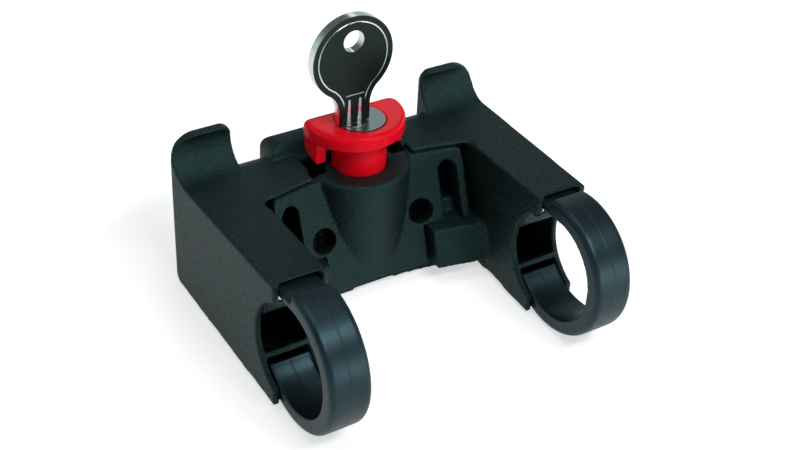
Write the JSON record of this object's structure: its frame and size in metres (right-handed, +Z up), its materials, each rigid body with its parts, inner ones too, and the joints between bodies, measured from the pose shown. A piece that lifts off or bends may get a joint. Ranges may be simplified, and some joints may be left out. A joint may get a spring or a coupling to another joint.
{
  "type": "handlebar bag adapter",
  "caption": "Lockable quick-release bracket that clamps to a handlebar and carries a bag on its hooks, with a keyed push button.",
  "frame": {"origin": "on the handlebar's axis, midway between the two clamps", "axes": "+X along the handlebar to the rider's right, +Y forward to the bag, +Z up"},
  "size_m": [0.1014, 0.0909, 0.0876],
  "materials": {
    "moulded_black": "fine pebbled",
    "band_black": "smooth, half gloss",
    "button_red": "glossy",
    "lock_zinc": "satin plated",
    "plug_chrome": "polished",
    "key_nickel": "polished plate",
    "wafer_brass": "stamped",
    "zinc_steel": "zinc plated",
    "spring_steel": "drawn wire",
    "black_oxide": "blackened steel"
  },
  "bodies": {
    "adapter": {"main_frame": "moulded_black", "mechanism_carrier": "moulded_black", "carrier_screws": "black_oxide", "clamp_strap_left": "band_black", "clamp_strap_right": "band_black", "clamp_screw_left": "zinc_steel", "clamp_screw_right": "zinc_steel", "clamp_washer_left": "zinc_steel", "clamp_washer_right": "zinc_steel", "clamp_nut_left": "zinc_steel", "clamp_nut_right": "zinc_steel", "button_spring": "spring_steel"},
    "button": {"release_button": "button_red", "latch_slider": "moulded_black", "lock_barrel": "lock_zinc", "barrel_clip": "spring_steel"},
    "lock": {"lock_plug": "plug_chrome", "lock_wafers": "wafer_brass", "lock_cam": "zinc_steel", "cam_screw": "zinc_steel"},
    "key": {"key": "key_nickel"}
  },
  "joints": [
    {"name": "button_slide", "type": "slide", "parent": "adapter", "child": "button", "axis": [0, 0, -1], "range_m": [0, 0.007], "stiffness_N_per_m": 600, "springref_m": -0.006, "deforming": ["button_spring"]},
    {"name": "lock_turn", "type": "hinge", "parent": "button", "child": "lock", "pos_m": [-0.0024, 0.0478, 0.0334], "axis": [0, 0, 1], "range_deg": [0, 90]},
    {"name": "key_withdraw", "type": "slide", "parent": "lock", "child": "key", "axis": [0, 0, 1], "range_m": [0, 0.026]}
  ]
}
